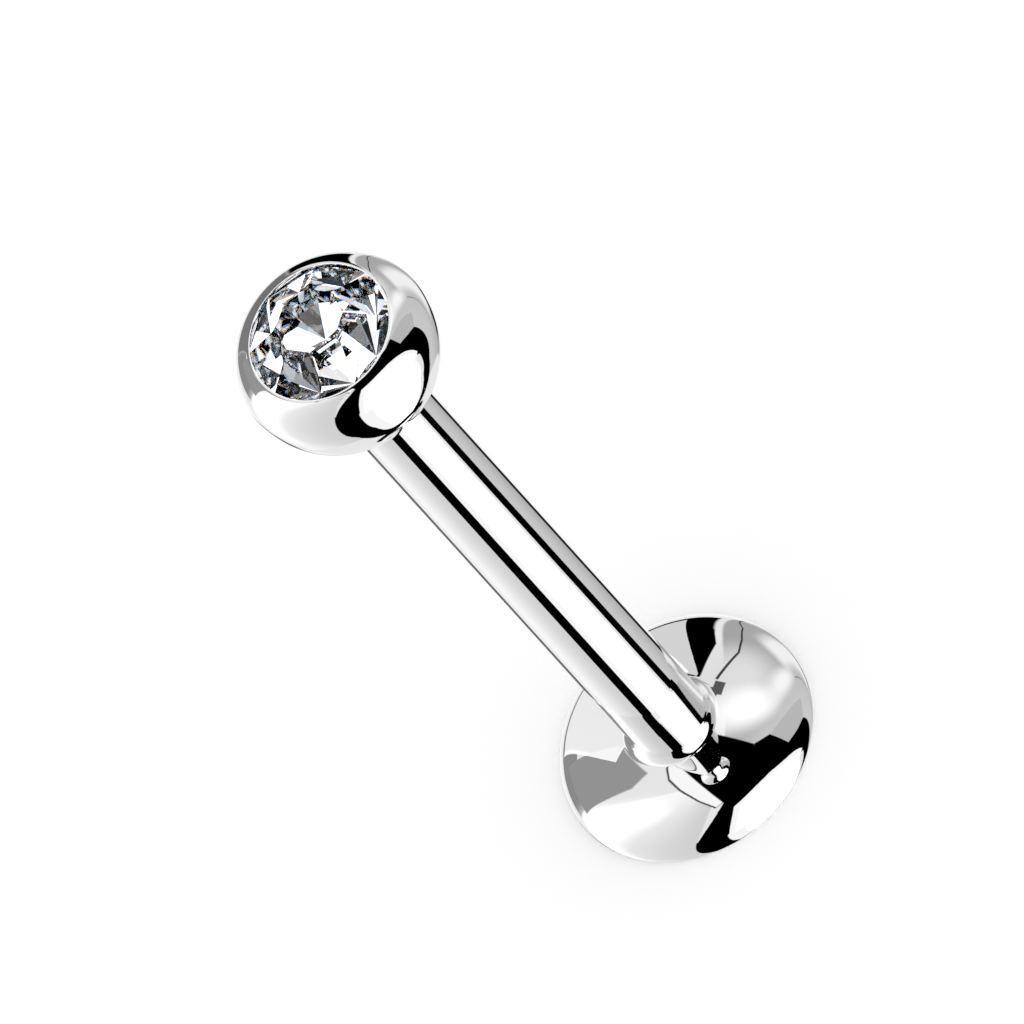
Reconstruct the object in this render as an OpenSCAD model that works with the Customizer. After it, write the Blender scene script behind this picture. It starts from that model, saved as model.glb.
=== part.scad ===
// Labret stud: a round post on a low domed disc, and a ball with one cut stone on its other end.
// Millimetres. The origin is the middle of the disc's flat back, and +Z runs along the post to the ball.

/* [Disc] */
// Diameter of the disc
base_d = 3.9; // [3.4:0.1:5]
// Height over the flat back that the dome would reach on the axis
dome_h = 0.75; // [0.7:0.05:1.1]
// Slope in degrees where the flat middle of the dome turns into its shoulder
shoulder_slope = 15; // [12:1:18]
// Slope in degrees where the shoulder turns into the edge
edge_slope = 41; // [38:1:46]
// Radius of the dome's edge, which ends upright at the rim
edge_r = 0.29; // [0.24:0.01:0.34]
// Radius of the rounding under the rim
rim_r = 0.05; // [0.03:0.01:0.09]
// Straight band between that rounding and the dome's edge
rim_band = 0.01; // [0.01:0.01:0.03]
// Radius of the fillet between the dome and the post
fillet_r = 0.15; // [0.1:0.05:0.6]

/* [Post] */
// Diameter of the post
post_d = 1.25; // [1.2:0.05:1.6]
// Height of the post's upper end over the flat back
post_l = 11.9; // [6:0.1:20]
// Width of the broken edges at the post's upper end, outside and at the mouth of its bore
edge_break = 0.03; // [0.01:0.01:0.04]

/* [Pin under the ball] */
// Diameter of the pin, over its thread
pin_d = 0.9; // [0.7:0.05:0.95]
// Length of the pin below the ball
pin_l = 2; // [1:0.1:4]
// Width of the chamfer at the pin's tip
pin_chamfer = 0.12; // [0.05:0.01:0.2]
// Running clearance round the pin
pin_gap = 0.03; // [0.02:0.01:0.04]
// Room left under the pin's tip
tip_room = 0.25; // [0.1:0.05:0.5]

/* [Ball] */
// Diameter of the ball
ball_d = 3; // [2.8:0.1:4]
// How far the flat under the ball is wider than the post, all round
land_margin = 0.03; // [0.02:0.01:0.1]
// Gap between that flat and the post's upper end
seat_gap = 0.02; // [0.01:0.01:0.05]
// Height of the lip over the ball's middle
lip_h = 0.58; // [0.5:0.02:0.7]
// Width of the lip's bright flat ring
lip_w = 0.04; // [0.02:0.01:0.06]
// Thickness of the lip at its inner edge
lip_t = 0.03; // [0.02:0.005:0.05]
// How far the lip reaches in over the stone's girdle
lip_cover = 0.02; // [0.01:0.01:0.04]

/* [Stone] */
// Diameter of the stone at its girdle
stone_d = 2.17; // [1.8:0.01:2.2]
// Width of the table, corner to corner
table_d = 1.03; // [0.7:0.01:1.3]
// Height of the crown, from the girdle's corners to the table
crown_h = 0.45; // [0.35:0.01:0.6]
// Thickness of the girdle
girdle_t = 0.05; // [0.03:0.01:0.1]
// Depth of the pavilion, from the girdle to the point
pavilion_h = 1.26; // [0.9:0.01:1.3]
// Turn of the table's corners about the post
stone_turn = 12.5; // [0:0.5:45]
// Clearance between the stone and its setting
stone_gap = 0.02; // [0.01:0.005:0.03]

/* [Hidden] */
$fn = 96;
// Extra length of a cut past the face that it opens
cut_over = 0.1;
// How far the edge of a cut runs out past the dome's shoulder, as a share of the shoulder's radius
reach = 1.5;
// Overlap of the dome's arcs where they would only touch, so that each two of them meet in one clean line
hair = 0.00002;

// The radii of the dome's middle and shoulder, which together run out and rise as far as its edge leaves them
post_r = post_d / 2;
base_r = base_d / 2;
rim_z = rim_r + rim_band;
edge_x = base_r - edge_r;
dome_run = edge_x + edge_r * sin(edge_slope);
dome_rise = dome_h - rim_z - edge_r * cos(edge_slope);
shoulder_run = sin(edge_slope) - sin(shoulder_slope);
shoulder_rise = cos(shoulder_slope) - cos(edge_slope);
middle_rise = 1 - cos(shoulder_slope);
arc_share = sin(shoulder_slope) * shoulder_rise - middle_rise * shoulder_run;
dome_r = rounded((dome_run * shoulder_rise - dome_rise * shoulder_run) / arc_share);
slope_r = rounded((dome_rise * sin(shoulder_slope) - dome_run * middle_rise) / arc_share);
dome_drop = dome_r - dome_h;

// The middle of the shoulder's arc, from its distances to those of the dome's middle and of its edge
to_middle = dome_r - slope_r + hair;
to_edge = slope_r - edge_r + hair;
far = norm([edge_x, rim_z + dome_drop]);
lean = atan2(edge_x, rim_z + dome_drop);
along = (to_middle^2 - to_edge^2 + far^2) / (2 * far);
aside = sqrt(to_middle^2 - along^2);
slope_x = along * sin(lean) - aside * cos(lean);
slope_z = along * cos(lean) + aside * sin(lean) - dome_drop;

// The fillet touches the dome and the post
fillet_x = post_r + fillet_r;
fillet_z = sqrt((dome_r + fillet_r)^2 - fillet_x^2) - dome_drop;
touch_share = dome_r / (dome_r + fillet_r);
touch_x = fillet_x * touch_share;
touch_z = (fillet_z + dome_drop) * touch_share - dome_drop;

// The pin and its bore
pin_r = pin_d / 2;
bore_r = pin_r + pin_gap;
bore_l = pin_l + tip_room;

// The ball's middle, over a flat that is a little wider than the post
ball_r = ball_d / 2;
land_r = post_r + land_margin;
land_drop = sqrt(ball_r^2 - land_r^2);
ball_z = post_l + seat_gap + land_drop;

// The stone, in heights over the ball's middle
FACETS = 8;
facet_step = 360 / FACETS;
half_step = facet_step / 2;
stone_r = stone_d / 2;
table_r = table_d / 2;
table_flat = table_r * cos(half_step);
opening_r = stone_r - lip_cover;
ridge_slope = crown_h / (stone_r - table_r);
crown_angle = atan(ridge_slope / cos(half_step));
crown_gap = stone_gap * sqrt(1 + ridge_slope^2);
lip_edge = lip_h - lip_t;
table_z = lip_edge - crown_gap + (opening_r - table_r) * ridge_slope;
point_z = table_z - crown_h - girdle_t - pavilion_h;
pavilion_angle = atan(pavilion_h / stone_r);

// The socket runs beside the stone's girdle, over its crown ridges and under its pavilion ridges
socket_r = stone_r + stone_gap;
keel_slope = pavilion_h / stone_r * cos(half_step);
keel_gap = stone_gap * sqrt(1 + keel_slope^2);
socket_floor = point_z - keel_gap;
seat_z = socket_floor + socket_r * keel_slope;
under_lip = table_z - (socket_r - table_r) * ridge_slope + crown_gap;

// The ball's upper half is one arc from its widest line to the lip's outer edge
shoulder_in = ball_r - opening_r - lip_w;
shoulder_r = (shoulder_in^2 + lip_h^2) / (2 * shoulder_in);
shoulder_x = ball_r - shoulder_r;

// A length in whole ten-thousandths of a millimetre
function rounded(length) = round(length * 10000) / 10000;

// A point past the dome's shoulder at a slope, so that a cut to it from the arc's middle crosses the dome squarely
function past_dome(slope) = [slope_x + slope_r * reach * sin(slope), slope_z + slope_r * reach * cos(slope)];

// Half outline of the post with its broken edge, and of the fillet as far out as it touches the dome
module post_outline() {
    difference() {
        polygon([[0, 0], [touch_x, 0], [touch_x, touch_z], [fillet_x, fillet_z], [post_r, fillet_z],
            [post_r, post_l - edge_break], [post_r - edge_break, post_l], [0, post_l]]);
        translate([fillet_x, fillet_z]) circle(fillet_r);
    }
}

// Half outline of the dome: its middle, its shoulder and its edge
module dome_outline() {
    foot_x = slope_x - slope_z * tan(shoulder_slope);
    top_z = dome_h + slope_r;
    intersection() {
        translate([0, -dome_drop]) circle(dome_r);
        polygon([[0, 0], [foot_x, 0], past_dome(shoulder_slope), [0, top_z]]);
    }
    intersection() {
        translate([slope_x, slope_z]) circle(slope_r);
        polygon([[0, 0], [edge_x, 0], [edge_x, rim_z], past_dome(edge_slope), [0, top_z]]);
    }
    intersection() {
        translate([edge_x, rim_z]) circle(edge_r);
        translate([edge_x - edge_r, rim_z]) square(2 * edge_r);
    }
}

// Half outline of the rim, a rounding with a straight band over it
module rim_outline() {
    square([base_r - rim_r, rim_z]);
    translate([edge_x, rim_r]) square([edge_r, rim_band]);
    translate([base_r - rim_r, rim_r]) circle(rim_r);
}

module labret_post() {
    color("silver") difference() {
        rotate_extrude() {
            post_outline();
            dome_outline();
            rim_outline();
        }
        translate([0, 0, post_l - bore_l]) cylinder(h = bore_l + cut_over, r = bore_r);
        translate([0, 0, post_l - edge_break])
            cylinder(h = edge_break, r1 = bore_r, r2 = bore_r + edge_break);
    }
}

// Half outline of the ball, in heights over its middle
module ball_outline() {
    intersection() {
        circle(ball_r);
        translate([0, -land_drop]) square([ball_r, land_drop]);
    }
    square([shoulder_x, lip_h]);
    intersection() {
        translate([shoulder_x, 0]) circle(shoulder_r);
        square([ball_r, lip_h]);
    }
}

// Half outline of the pin below the ball
module pin_outline() {
    tip = -land_drop - pin_l;
    polygon([[0, tip], [pin_r - pin_chamfer, tip], [pin_r, tip + pin_chamfer], [pin_r, socket_floor],
        [0, socket_floor]]);
}

// Half outline of the stone's socket, open at the top
module socket_outline() {
    polygon([[0, socket_floor], [socket_r, seat_z], [socket_r, under_lip], [opening_r, lip_edge],
        [opening_r, lip_h + cut_over], [0, lip_h + cut_over]]);
}

module gem_ball() {
    color("silver") translate([0, 0, ball_z]) rotate_extrude() difference() {
        union() {
            ball_outline();
            pin_outline();
        }
        socket_outline();
    }
}

// The block that one flat facet takes off: its lower face holds the origin and falls along +X
module facet_cut(fall) {
    rotate([0, fall, 0]) translate([-stone_d, -stone_d, 0]) cube(2 * stone_d);
}

// A round blank with its table and crown facets cut, and the pavilion facets right below them
module stone() {
    color("white") translate([0, 0, ball_z]) rotate([0, 0, stone_turn]) difference() {
        translate([0, 0, point_z]) cylinder(h = table_z - point_z, r = stone_r);
        for (i = [0 : FACETS - 1]) {
            rotate([0, 0, half_step + i * facet_step]) {
                translate([table_flat, 0, table_z]) facet_cut(crown_angle);
                translate([0, 0, point_z]) rotate([180, 0, 0]) facet_cut(pavilion_angle);
            }
        }
    }
}

labret_post();
gem_ball();
stone();
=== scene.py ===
"""Labret stud: a mirror-polished post on a domed disc, and a ball that holds a cut stone."""

import math

import bpy
from mathutils import Matrix, Vector


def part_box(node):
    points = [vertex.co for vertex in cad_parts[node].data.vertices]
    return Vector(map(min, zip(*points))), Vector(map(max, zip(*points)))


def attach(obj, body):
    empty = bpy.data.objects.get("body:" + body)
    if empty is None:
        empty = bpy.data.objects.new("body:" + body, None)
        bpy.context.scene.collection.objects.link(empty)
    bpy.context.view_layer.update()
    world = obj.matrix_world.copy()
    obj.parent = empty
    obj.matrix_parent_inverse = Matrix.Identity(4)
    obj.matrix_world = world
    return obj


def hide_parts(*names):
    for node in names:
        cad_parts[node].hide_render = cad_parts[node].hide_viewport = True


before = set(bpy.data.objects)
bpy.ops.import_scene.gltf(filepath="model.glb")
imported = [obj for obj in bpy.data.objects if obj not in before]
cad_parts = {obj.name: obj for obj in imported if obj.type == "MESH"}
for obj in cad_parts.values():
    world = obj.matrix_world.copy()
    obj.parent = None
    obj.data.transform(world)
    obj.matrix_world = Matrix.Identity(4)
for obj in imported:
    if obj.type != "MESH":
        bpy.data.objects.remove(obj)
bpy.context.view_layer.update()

bl_info = {
    "name": "Labret Stud",
    "version": (1, 0, 0),
    "blender": (4, 5, 0),
    "location": "View3D > Sidebar > Stud",
    "description": "Makes a polished labret stud with a cut stone in its ball",
    "category": "Add Mesh",
}

MM = 0.001
POST_LOW, POST_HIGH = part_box("labret_post")
BALL_LOW, BALL_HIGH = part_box("gem_ball")
STONE_LOW, STONE_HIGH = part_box("stone")


# Facets round the stone, and faces round and along the turned metal
FACETS = 8
TURN_STEPS = 256
RIM_STEPS = 16
DOME_STEPS = 80
FILLET_STEPS = 32
BALL_STEPS = 64
SHOULDER_STEPS = 48


def length(name, description, value):
    """A size in metres that a user can change."""
    return bpy.props.FloatProperty(name=name, description=description, default=value, unit="LENGTH",
                                   precision=5)


def angle(name, description, degrees):
    """An angle that a user can change."""
    return bpy.props.FloatProperty(name=name, description=description, default=math.radians(degrees),
                                   subtype="ANGLE")


class StudSizes(bpy.types.PropertyGroup):
    """Sizes of the turned metal, heights over the disc's flat back"""
    base_d: length("Disc", "Diameter of the disc", POST_HIGH.x - POST_LOW.x)
    dome_h: length("Dome", "Height that the dome would reach on the axis", 0.75 * MM)
    rim_r: length("Rim rounding", "Radius of the rounding under the rim", 0.05 * MM)
    rim_band: length("Rim band", "Straight band between that rounding and the dome", 0.01 * MM)
    fillet_r: length("Fillet", "Radius of the fillet between dome and post", 0.15 * MM)
    post_d: length("Post", "Diameter of the post", 1.25 * MM)
    post_l: length("Post's end", "Height of the post's upper end", POST_HIGH.z)
    edge_break: length("Broken edges", "Width of the broken edges at the post's upper end", 0.03 * MM)
    bore_d: length("Bore", "Diameter of the bore in the post", 0.96 * MM)
    bore_l: length("Bore's depth", "Depth of the bore in the post", 2.25 * MM)
    ball_d: length("Ball", "Diameter of the ball", BALL_HIGH.x - BALL_LOW.x)
    land_r: length("Land", "Radius of the flat under the ball", 0.655 * MM)
    seat_gap: length("Seat gap", "Gap between that flat and the post", 0.02 * MM)
    lip_z: length("Lip", "Height of the lip's bright flat ring", BALL_HIGH.z)
    lip_w: length("Lip's ring", "Width of the lip's bright flat ring", 0.04 * MM)
    lip_t: length("Lip's edge", "Thickness of the lip at its inner edge", 0.03 * MM)
    opening_d: length("Opening", "Diameter of the opening inside the lip", 2.13 * MM)
    socket_d: length("Socket", "Diameter of the socket round the stone", 2.21 * MM)
    pin_d: length("Pin", "Diameter of the pin under the ball, over its thread", 0.9 * MM)
    pin_z: length("Pin's tip", "Height of the pin's tip", BALL_LOW.z)
    pin_chamfer: length("Pin's chamfer", "Width of the chamfer at the pin's tip", 0.12 * MM)


class StoneSizes(bpy.types.PropertyGroup):
    """Sizes of the cut stone"""
    girdle_d: length("Girdle", "Diameter at the girdle", 2.17 * MM)
    table_d: length("Table", "Width of the table, corner to corner", 1.03 * MM)
    table_z: length("Table's height", "Height of the table over the flat back", STONE_HIGH.z)
    crown_h: length("Crown", "Height of the crown", 0.45 * MM)
    pavilion_h: length("Pavilion", "Depth of the pavilion", 1.26 * MM)
    girdle_t: length("Girdle's thickness", "Thickness of the girdle", 0.05 * MM)
    gap: length("Clearance", "Clearance in the setting", 0.02 * MM)


class StageSizes(bpy.types.PropertyGroup):
    """Where the camera and the lamp stand, and the floor"""
    elevation: angle("Elevation", "Camera's height over the horizon", 55.54)
    roll: angle("Roll", "How far the post leans left in the frame", 42.08)
    field: length("Field", "Width of the view at the middle of the stud", 14.587 * MM)
    ball_right: length("Ball to middle", "Frame's middle to the right of the ball's middle", 2.504 * MM)
    ball_down: length("Ball over middle", "Frame's middle below the ball's middle", 2.296 * MM)
    lens: bpy.props.FloatProperty(name="Lens", description="Focal length in millimetres", default=1650)
    floor: length("Floor", "Width of the floor", 4.0)
    lamp_turn: angle("Lamp's azimuth", "Where the lamp stands round the post", 95)
    lamp_away: length("Lamp's distance", "Distance of the lamp from the post", 8.05 * MM)
    lamp_w: length("Lamp's width", "Width of the lamp", 8.76 * MM)
    lamp_low: length("Lamp's foot", "Height of the lamp's lower edge", -0.5 * MM)
    lamp_high: length("Lamp's top", "Height of the lamp's upper edge", 9.9 * MM)
    lamp_power: bpy.props.FloatProperty(name="Lamp's power", description="Power of the lamp",
                                        default=0.000198, unit="POWER", precision=6)


def deselect_all():
    """Leaves object mode's selection empty."""
    bpy.ops.object.select_all(action="DESELECT")


class Value:
    """A shader value that takes part in sums: each operator adds its Math node."""

    def __init__(self, tree, socket):
        self.tree, self.socket = tree, socket

    def math(self, operation, *values):
        return self.tree.add("ShaderNodeMath", {"operation": operation}, dict(enumerate(values)))

    def __add__(self, other):
        return self.math("ADD", self, other)

    def __radd__(self, other):
        return self.math("ADD", other, self)

    def __sub__(self, other):
        return self.math("SUBTRACT", self, other)

    def __rsub__(self, other):
        return self.math("SUBTRACT", other, self)

    def __mul__(self, other):
        return self.math("MULTIPLY", self, other)

    def __rmul__(self, other):
        return self.math("MULTIPLY", other, self)

    def __abs__(self):
        return self.math("ABSOLUTE", self)

    def hypot(self, other):
        return self.math("SQRT", self * self + other * other)

    def dot(self, vector):
        return self.tree.add("ShaderNodeVectorMath", {"operation": "DOT_PRODUCT"},
                             {0: self, 1: vector}, "Value")

    def most(self, other):
        return self.math("MAXIMUM", self, other)

    def least(self, other):
        return self.math("MINIMUM", self, other)

    def ramp(self, start, end, low=0, high=1):
        """Goes smoothly from low to high while the value goes from start to end."""
        return self.tree.add("ShaderNodeMapRange", {"interpolation_type": "SMOOTHSTEP"}, {
            "Value": self, "From Min": start, "From Max": end, "To Min": low, "To Max": high})


class Tree:
    """The nodes of a material or a world."""

    def __init__(self, owner, output):
        owner.use_nodes = True
        self.nodes, self.links = owner.node_tree.nodes, owner.node_tree.links
        self.nodes.clear()
        self.output = self.nodes.new(output)

    def add(self, kind, settings=None, values=None, out=0):
        """Adds a node: its settings first, then the values or links of its sockets. Gives one output."""
        node = self.nodes.new(kind)
        for name, setting in (settings or {}).items():
            setattr(node, name, setting)
        for name, value in (values or {}).items():
            if isinstance(value, Value):
                self.links.new(value.socket, node.inputs[name])
            else:
                node.inputs[name].default_value = value
        return Value(self, node.outputs[out])

    def finish(self, shader):
        self.links.new(shader.socket, self.output.inputs["Surface"])


class Outline:
    """A half outline drawn from point to point in the XZ plane, then spun about Z into a turned piece."""

    def __init__(self, name, x, z):
        deselect_all()
        bpy.ops.mesh.primitive_plane_add(size=MM, location=(0, 0, 0))
        self.piece = bpy.context.object
        self.piece.name = self.piece.data.name = name
        bpy.ops.object.mode_set(mode="EDIT")
        bpy.ops.mesh.select_all(action="SELECT")
        bpy.ops.mesh.merge(type="CENTER")
        bpy.ops.transform.translate(value=(x, 0, z))
        self.x, self.z = x, z

    def line(self, x, z):
        """A straight line to a point."""
        move = (x - self.x, 0, z - self.z)
        bpy.ops.mesh.extrude_region_move(TRANSFORM_OT_translate={"value": move})
        self.x, self.z = x, z

    def arc(self, x, z, angle, steps):
        """An arc about a centre, anticlockwise where the angle is above 0."""
        bpy.ops.mesh.spin(steps=steps, angle=angle, center=(x, 0, z), axis=(0, 1, 0))
        across, up = self.x - x, self.z - z
        self.x = x + across * math.cos(angle) - up * math.sin(angle)
        self.z = z + across * math.sin(angle) + up * math.cos(angle)

    def turn(self, steps, smooth=math.radians(30)):
        """Spins the outline all the way round and closes it."""
        bpy.ops.mesh.select_all(action="SELECT")
        bpy.ops.mesh.spin(steps=steps, angle=2 * math.pi, center=(0, 0, 0), axis=(0, 0, 1))
        bpy.ops.mesh.select_all(action="SELECT")
        bpy.ops.mesh.remove_doubles(threshold=MM * 1e-4)
        bpy.ops.mesh.normals_make_consistent(inside=False)
        bpy.ops.object.mode_set(mode="OBJECT")
        bpy.ops.object.shade_smooth_by_angle(angle=smooth)
        return self.piece


class STUD_OT_post(bpy.types.Operator):
    """Turns the domed disc with its fillet and post, and the bore in the post's end"""
    bl_idname = "stud.post"
    bl_label = "Post and Disc"

    def execute(self, context):
        s = context.scene.stud
        post_r, base_r, bore_r = s.post_d / 2, s.base_d / 2, s.bore_d / 2
        rim_z = s.rim_r + s.rim_band
        dome_rise = s.dome_h - rim_z

        def on_dome(turn):
            """A point of the dome's elliptic section, and its normal."""
            facing = Vector((math.cos(turn) / base_r, math.sin(turn) / dome_rise)).normalized()
            return Vector((base_r * math.cos(turn), rim_z + dome_rise * math.sin(turn))), facing

        # where the fillet touches the dome, between a turn that is too far out and one too far in
        outer, inner = 0.5, math.pi / 2
        for _ in range(40):
            turn = (outer + inner) / 2
            spot, facing = on_dome(turn)
            middle = spot + facing * s.fillet_r
            if middle.x > post_r + s.fillet_r:
                outer = turn
            else:
                inner = turn
        drawn = Outline("labret_post_metal", 0, 0)
        drawn.line(base_r - s.rim_r, 0)
        drawn.arc(base_r - s.rim_r, s.rim_r, math.pi / 2, RIM_STEPS)
        drawn.line(base_r, rim_z)
        for step in range(1, DOME_STEPS + 1):
            drawn.line(*on_dome(turn * step / DOME_STEPS)[0])
        drawn.arc(middle.x, middle.y, -math.atan2(facing.y, facing.x), FILLET_STEPS)
        drawn.line(post_r, s.post_l - s.edge_break)
        drawn.line(post_r - s.edge_break, s.post_l)
        drawn.line(bore_r + s.edge_break, s.post_l)
        drawn.line(bore_r, s.post_l - s.edge_break)
        drawn.line(bore_r, s.post_l - s.bore_l)
        drawn.line(0, s.post_l - s.bore_l)
        piece = drawn.turn(TURN_STEPS)
        piece.data.materials.append(steel())
        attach(piece, "post")
        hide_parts("labret_post")
        return {"FINISHED"}


class STUD_OT_ball(bpy.types.Operator):
    """Turns the ball with its lip, the stone's socket and the pin below"""
    bl_idname = "stud.ball"
    bl_label = "Ball"

    def execute(self, context):
        s, g = context.scene.stud, context.scene.stud_stone
        ball_r, pin_r = s.ball_d / 2, s.pin_d / 2
        opening_r, socket_r = s.opening_d / 2, s.socket_d / 2
        drop = math.sqrt(ball_r**2 - s.land_r**2)
        middle = s.post_l + s.seat_gap + drop
        lip_h = s.lip_z - middle
        shoulder_in = ball_r - opening_r - s.lip_w
        shoulder_r = (shoulder_in**2 + lip_h**2) / (2 * shoulder_in)
        shoulder_x = ball_r - shoulder_r
        girdle_r, table_r = g.girdle_d / 2, g.table_d / 2
        ridge = g.crown_h / (girdle_r - table_r)
        keel = g.pavilion_h / girdle_r * math.cos(math.pi / FACETS)
        under_lip = g.table_z - (socket_r - table_r) * ridge + g.gap * math.sqrt(1 + ridge**2)
        floor_z = STONE_LOW.z - g.gap * math.sqrt(1 + keel**2)
        drawn = Outline("gem_ball_metal", 0, s.pin_z)
        drawn.line(pin_r - s.pin_chamfer, s.pin_z)
        drawn.line(pin_r, s.pin_z + s.pin_chamfer)
        drawn.line(pin_r, middle - drop)
        drawn.line(s.land_r, middle - drop)
        drawn.arc(0, middle, math.asin(drop / ball_r), BALL_STEPS)
        drawn.arc(shoulder_x, middle, math.asin(lip_h / shoulder_r), SHOULDER_STEPS)
        drawn.line(opening_r, s.lip_z)
        drawn.line(opening_r, s.lip_z - s.lip_t)
        drawn.line(socket_r, under_lip)
        drawn.line(socket_r, floor_z + socket_r * keel)
        drawn.line(0, floor_z)
        piece = drawn.turn(TURN_STEPS)
        piece.data.materials.append(steel())
        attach(piece, "ball")
        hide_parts("gem_ball")
        return {"FINISHED"}


def steel():
    """Mirror-polished steel, with the faint haze and fine wiping marks that a polish leaves. Made once."""
    made = bpy.data.materials.get("polished_steel")
    if made:
        return made
    made = bpy.data.materials.new("polished_steel")
    tree = Tree(made, "ShaderNodeOutputMaterial")
    place = tree.add("ShaderNodeTexCoord", out="Object")
    haze = tree.add("ShaderNodeTexNoise", values={"Vector": place, "Scale": 900.0, "Detail": 4.0})
    # a Mix node has three results, and the last one is its colour
    tone = tree.add("ShaderNodeMix", {"data_type": "RGBA"},
                    {"Factor": haze, "A": (0.9, 0.9, 0.905, 1), "B": (0.96, 0.96, 0.955, 1)}, out=2)
    around = tree.add("ShaderNodeMapping", values={"Vector": place, "Scale": (400, 400, 30000)})
    marks = tree.add("ShaderNodeTexNoise", values={"Vector": around, "Scale": 1.0, "Detail": 6.0})
    relief = tree.add("ShaderNodeBump", values={
        "Height": marks, "Strength": 0.02, "Distance": 0.01 * MM}, out="Normal")
    tree.finish(tree.add("ShaderNodeBsdfPrincipled", values={
        "Base Color": tone, "Metallic": 1.0, "Normal": relief,
        "Roughness": haze.ramp(0.35, 0.7, 0.004, 0.02)}))
    return made


def clear_stone(foil_z):
    """Clear cut stone, with a mirror foil round it below a height."""
    made = bpy.data.materials.new("clear_stone")
    tree = Tree(made, "ShaderNodeOutputMaterial")
    place = tree.add("ShaderNodeTexCoord", out="Object")
    height = tree.add("ShaderNodeSeparateXYZ", values={"Vector": place}, out="Z")
    polish = tree.add("ShaderNodeTexNoise", values={"Vector": place, "Scale": 1500.0, "Detail": 2.0})
    rough = polish.ramp(0.45, 0.75, 0, 0.004)

    def bend(kind, color, index):
        return tree.add(kind, values={"Color": (*color, 1), "Roughness": rough, "IOR": index})

    # light that enters splits into a warm and a cool half, which the facets then throw different ways
    entering = tree.add("ShaderNodeAddShader", values={
        0: bend("ShaderNodeBsdfRefraction", (0.85, 0.5, 0.15), 2.38),
        1: bend("ShaderNodeBsdfRefraction", (0.15, 0.5, 0.85), 2.401)})
    within = bend("ShaderNodeBsdfGlass", (1, 1, 1), 2.39)
    inside = tree.add("ShaderNodeNewGeometry", out="Backfacing")
    clear = tree.add("ShaderNodeMixShader", values={0: inside, 1: entering, 2: within})
    foil = tree.add("ShaderNodeBsdfAnisotropic", values={"Color": (0.9, 0.9, 0.91, 1), "Roughness": 0.0})
    edge = 0.005 * MM
    tree.finish(tree.add("ShaderNodeMixShader", values={
        0: height.ramp(foil_z + edge, foil_z - edge), 1: clear, 2: foil}))
    return made


def pale():
    """Plain matt white of the floor."""
    made = bpy.data.materials.new("pale_matt")
    tree = Tree(made, "ShaderNodeOutputMaterial")
    tree.finish(tree.add("ShaderNodeBsdfDiffuse", values={"Color": (0.8, 0.8, 0.8, 1)}))
    return made


class STUD_OT_stone(bpy.types.Operator):
    """Gives the cut stone, which is the frame's own solid, its material"""
    bl_idname = "stud.stone"
    bl_label = "Stone"

    def execute(self, context):
        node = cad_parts["stone"]
        node.data.materials.clear()
        g = context.scene.stud_stone
        node.data.materials.append(clear_stone(STONE_LOW.z + g.pavilion_h + g.girdle_t / 2))
        return {"FINISHED"}


# The studio's walls, one over the other: azimuths from and to, elevations from and to, radius of the
# corners, width of the soft edges, all in degrees, then the light at the first and the last azimuth
WALLS = (
    (-14, 58, -66, 90, 1, 1.5, 0.62, 0.4),
    (20, 41, -50, 18, 8, 12, 0.92, 0.92),
    (12, 13.2, -50, 8, 0.3, 0.5, 0.3, 0.3),
    (61, 85, -12, 22, 1, 1.5, 0, 0),
    (85, 118, -12, 49, 1, 3, 0.17, 0.21),
    (118, 143.5, -12, 20, 1, 1, 0.27, 0.27),
    (56, 136, -62, -20, 8, 16, 1, 1),
    (86, 128, -60, -50, 3, 3, 0.16, 0.16),
    (39, 54, -62, -46, 3, 3, 0.01, 0.01),
    (143.5, 224, -62, 78, 1, 2, 1, 0.68),
    (145, 172, -50, 66, 8, 16, 1.15, 1.15),
    (223, 346, -90, 27, 0.5, 0.7, 0, 0),
    (246.5, 326, -79, 20, 12, 1, 1, 0.85),
    (262, 316, -82, 17, 12, 8, 3, 3),
    (-180, 180, -90, -80, 1, 1, 0, 0),
)
# Soft glows on the sky: the middle, and half the length and width, in degrees east and north of the
# zenith, then the turn and the light
GLOWS = (
    (25, 30, 30, 22, 0, 0.78),
    (24, 17, 22, 10, -24, 1.15),
    (54, 17, 28, 10, 10, 0.98),
    (0, 34.5, 6, 6, 0, 1.25),
)
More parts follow.
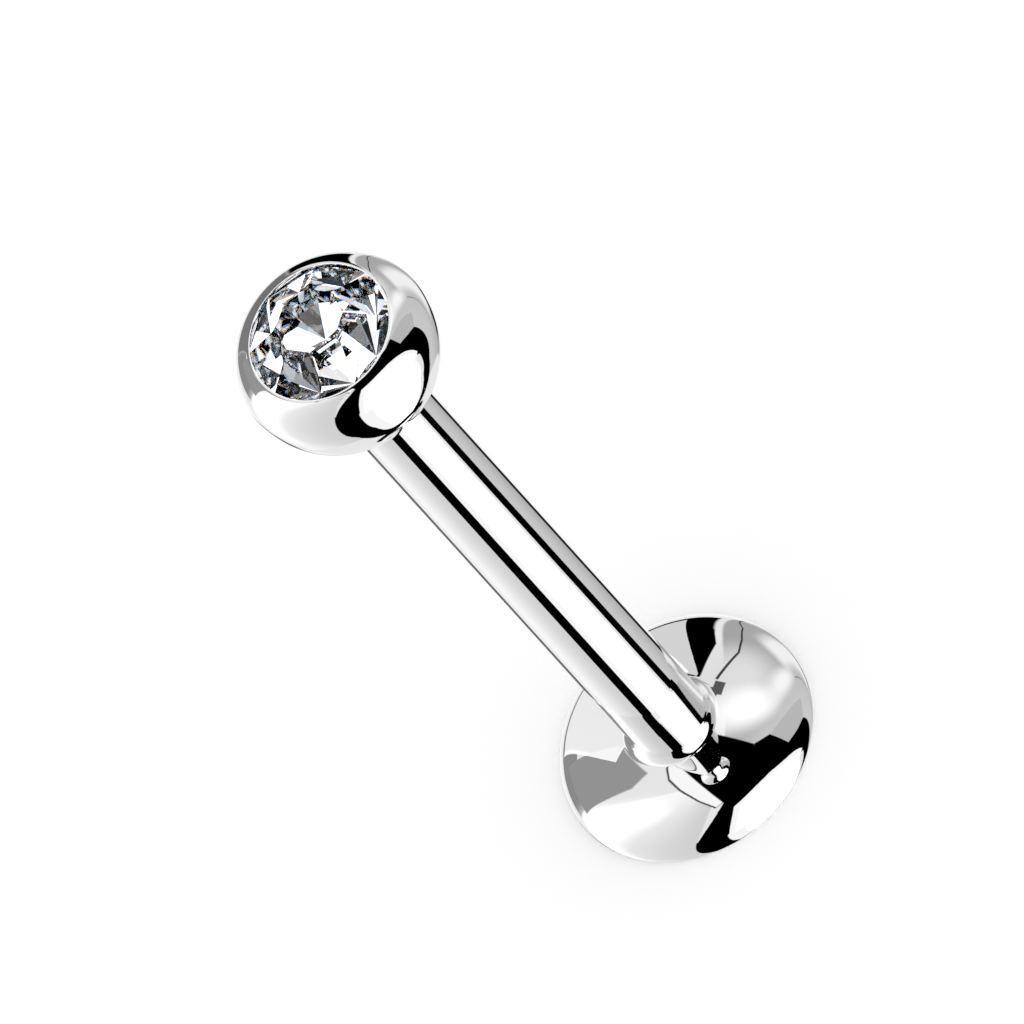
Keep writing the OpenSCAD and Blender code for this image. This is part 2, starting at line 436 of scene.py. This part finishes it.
# Cards on the sky, one over the other: the corners anticlockwise, in degrees east and north of the
# zenith, then the width of the soft edges and the light
CARDS = (
    (((-66, 45.3), (-23.9, 25.4), (-15.5, 25), (-15.5, 40.5), (-46, 70.3)), 1, 0.31),
    (((14.8, 39.5), (28.7, 50.9), (35.5, 64), (12.8, 80), (12.8, 42), (14, 39.5)), 0.6, 0),
    (((18.3, 34.3), (34.4, 41.2), (34, 42.2), (17.9, 35.3)), 0.4, 0.05),
    (((34.4, 41.2), (43.1, 49.8), (42.3, 50.6), (33.6, 41.9)), 0.4, 0.05),
    (((43.1, 49.8), (54.5, 66), (53.6, 66.6), (42.3, 50.6)), 0.4, 0.05),
    (((54.5, 66), (63, 98), (62.1, 98.3), (53.6, 66.6)), 0.4, 0.05),
    (((13.5, 31.5), (16, 28.5), (20, 31.5), (17.5, 34.5)), 0.5, 0.1),
    (((-13, 17), (-13.6, 10), (-13, -2), (-11.5, -15), (-6, -15), (-6, 23), (-10, 22)), 0.6, 0.05),
    (((-12.2, 17), (-12.8, 10), (-12.2, -2), (-10.7, -14.4), (-6, -14.4), (-6, 22.2), (-9.6, 21.2)), 0.6, 1),
    (((-7.1, 22), (-7.1, -15.7), (17.6, -40), (17.6, 1.4), (5.5, 21)), 0.6, 0),
    (((17.6, 1.4), (10, -40), (60, -60), (44, -23.3), (27.6, -2.3)), 0.6, 0),
    (((-7.1, -15.7), (-47.4, -45.4), (-60, -60), (90, -60), (90, -23.7), (0, -15.7)), 0.6, 0),
    (((27.6, -2.3), (44, -23.3), (62, -23.7), (80, -20), (80, -1.5), (47, -1.6)), 0.6, 0.5),
    (((-5.3, -27), (-33.5, -80), (70, -95), (82, -55), (52, -40.4), (22, -28.3), (10, -26.6)), 0.8, 1),
    (((-1, -33), (-24, -80), (62, -95), (72, -58), (50, -47), (22, -35), (10, -32.5)), 6, 2.5),
)
BASE_LIGHT = 0.85
# Round patches, bright and dark, on the sky that the light inside the stone comes from: the middle in
# degrees east and north of the zenith, the radius and the light
PATCHES = (
    (-1, -13, 24, 0.03),
    (35, -25, 24, 0.03),
    (-25, -31, 9, 2.2),
    (23, -25, 9, 2.2),
    (47, 41, 24, 0),
    (-13, -43, 9, 2.2),
    (-49, -37, 24, 0.03),
    (-19, 17, 15, 0.03),
    (59, -7, 24, 0.03),
    (-7, -1, 9, 2.2),
)
STONE_LIGHT = 2.2
PATCH_EDGE = 2
# The even light that the floor gets and the camera sees
FLOOR_LIGHT = 1.3


def studio():
    """The studio round the stud: one sky for polished metal, one for the stone, an even one for the floor."""
    world = bpy.data.worlds.new("studio")
    tree = Tree(world, "ShaderNodeOutputWorld")
    towards = tree.add("ShaderNodeSeparateXYZ", values={
        "Vector": tree.add("ShaderNodeTexCoord", out="Generated")})
    x, y, z = (Value(tree, socket) for socket in towards.socket.node.outputs)
    azimuth, elevation = x.math("ARCTAN2", y, x), z.math("ARCSINE", z)
    light = BASE_LIGHT
    for wall in WALLS:
        left, right, low, high, corner, soft = (math.radians(part) for part in wall[:6])
        first, last = wall[6:]
        half_w, half_h = (right - left) / 2, (high - low) / 2
        across = azimuth.math("WRAP", azimuth - (left + right) / 2, math.pi, -math.pi)
        beside = abs(across) - (half_w - corner)
        above = abs(elevation - (low + high) / 2) - (half_h - corner)
        outer = beside.most(0).hypot(above.most(0))
        inside = (outer + beside.most(above).least(0)).ramp(corner + soft / 2, corner - soft / 2)
        shade = first if first == last else across.ramp(-half_w, half_w, first, last)
        light = light + inside * (shade - light)

    # a flat map of the sky in degrees, the zenith in its middle
    zenith = (math.pi / 2 - elevation) * math.degrees(1)
    spot = tree.add("ShaderNodeCombineXYZ", values={
        "X": azimuth.math("COSINE", azimuth) * zenith,
        "Y": azimuth.math("SINE", azimuth) * zenith, "Z": 1.0})
    for east, north, long, wide, turn, shade in GLOWS:
        c, s = math.cos(math.radians(turn)), math.sin(math.radians(turn))
        along = spot.dot((c / long, s / long, -(c * east + s * north) / long))
        aside = spot.dot((-s / wide, c / wide, (s * east - c * north) / wide))
        light = light + along.hypot(aside).ramp(1.2, 0.2) * (shade - light)
    for corners, soft, shade in CARDS:
        outside = None
        for (x0, y0), (x1, y1) in zip(corners, corners[1:] + corners[:1]):
            facing = Vector((y1 - y0, x0 - x1)).normalized()
            past = spot.dot((facing.x, facing.y, -facing.dot((x0, y0))))
            outside = past if outside is None else outside.most(past)
        light = light + outside.ramp(soft / 2, -soft / 2) * (shade - light)

    inner = STONE_LIGHT
    for east, north, radius, shade in PATCHES:
        away = spot.dot((1, 0, -east)).hypot(spot.dot((0, 1, -north)))
        inner = inner + away.ramp(radius + PATCH_EDGE, radius - PATCH_EDGE) * (shade - inner)

    white = (1, 1, 1, 1)
    seen = tree.add("ShaderNodeBackground", values={"Color": white, "Strength": light})
    even = tree.add("ShaderNodeBackground", values={"Color": white, "Strength": FLOOR_LIGHT})
    through = tree.add("ShaderNodeBackground", values={"Color": white, "Strength": inner})
    rays = tree.add("ShaderNodeLightPath").socket.node.outputs
    within = Value(tree, rays["Is Transmission Ray"])
    seen = tree.add("ShaderNodeMixShader", values={0: within, 1: seen, 2: through})
    plain = Value(tree, rays["Is Camera Ray"]).most(Value(tree, rays["Is Diffuse Ray"]))
    tree.finish(tree.add("ShaderNodeMixShader", values={0: plain, 1: seen, 2: even}))
    world.cycles.sampling_method = "NONE"
    return world


def back_light(g):
    """A soft lamp close behind the stud, which only polished metal sees."""
    towards = Vector((math.cos(g.lamp_turn), math.sin(g.lamp_turn), 0))
    middle = Vector((0, 0, (g.lamp_low + g.lamp_high) / 2))
    deselect_all()
    bpy.ops.object.light_add(type="AREA", location=towards * g.lamp_away + middle,
                             rotation=(math.pi / 2, 0, g.lamp_turn + math.pi / 2))
    lamp = bpy.context.object
    lamp.name = "back_light"
    lamp.data.shape = "RECTANGLE"
    lamp.data.size, lamp.data.size_y = g.lamp_w, g.lamp_high - g.lamp_low
    lamp.data.energy = g.lamp_power
    lamp.visible_camera = lamp.visible_diffuse = lamp.visible_transmission = False


class STUD_OT_stage(bpy.types.Operator):
    """Sets the floor, the studio light and the camera"""
    bl_idname = "stud.stage"
    bl_label = "Stage"

    def execute(self, context):
        s, g = context.scene.stud, context.scene.stud_stage
        deselect_all()
        bpy.ops.mesh.primitive_plane_add(size=g.floor, location=(0, 0, 0))
        floor = context.object
        floor.name = "pale_floor"
        floor.data.materials.append(pale())
        floor.visible_glossy = floor.visible_transmission = False
        context.scene.world = studio()
        back_light(g)
        context.scene.view_settings.view_transform = "Standard"
        # light bounces many times in the cut stone
        light = context.scene.cycles
        light.max_bounces = light.transmission_bounces = light.glossy_bounces = 24

        # the camera's right and up, before and after its roll about the line of sight
        back = Vector((0, -math.cos(g.elevation), math.sin(g.elevation)))
        across, above = Vector((1, 0, 0)), Vector((0, math.sin(g.elevation), math.cos(g.elevation)))
        right = across * math.cos(g.roll) - above * math.sin(g.roll)
        up = across * math.sin(g.roll) + above * math.cos(g.roll)
        ball_r = s.ball_d / 2
        middle = Vector((0, 0, s.post_l + s.seat_gap + math.sqrt(ball_r**2 - s.land_r**2)))
        target = middle + right * g.ball_right - up * g.ball_down
        bpy.ops.object.camera_add()
        camera = context.object
        lens = camera.data
        lens.lens, lens.sensor_width = g.lens, 36
        away = g.field * g.lens / lens.sensor_width
        turn = Matrix((right, up, back)).transposed().to_4x4()
        middle_depth = (middle / 2 - target).dot(back)
        camera.matrix_world = Matrix.Translation(target + back * (away + middle_depth)) @ turn
        lens.clip_start, lens.clip_end = away / 100, away * 100
        context.scene.camera = camera
        return {"FINISHED"}


class STUD_PT_panel(bpy.types.Panel):
    """Lists the operators and their sizes"""
    bl_idname = "STUD_PT_panel"
    bl_label = "Labret Stud"
    bl_space_type = "VIEW_3D"
    bl_region_type = "UI"
    bl_category = "Stud"

    def draw(self, context):
        for step in STEPS:
            self.layout.operator(step.bl_idname)
        for group in (context.scene.stud, context.scene.stud_stone, context.scene.stud_stage):
            box = self.layout.box()
            for name in group.bl_rna.properties.keys():
                if name not in ("name", "rna_type"):
                    box.prop(group, name)


STEPS = (STUD_OT_post, STUD_OT_ball, STUD_OT_stone, STUD_OT_stage)
GROUPS = {"stud": StudSizes, "stud_stone": StoneSizes, "stud_stage": StageSizes}
CLASSES = (*GROUPS.values(), *STEPS, STUD_PT_panel)


def register():
    for kind in CLASSES:
        bpy.utils.register_class(kind)
    for name, kind in GROUPS.items():
        setattr(bpy.types.Scene, name, bpy.props.PointerProperty(type=kind))


def unregister():
    for name in GROUPS:
        delattr(bpy.types.Scene, name)
    for kind in reversed(CLASSES):
        bpy.utils.unregister_class(kind)


def main():
    """Makes the whole stud on its stage."""
    register()
    bpy.ops.stud.post()
    bpy.ops.stud.ball()
    bpy.ops.stud.stone()
    bpy.ops.stud.stage()


if __name__ == "__main__":
    main()
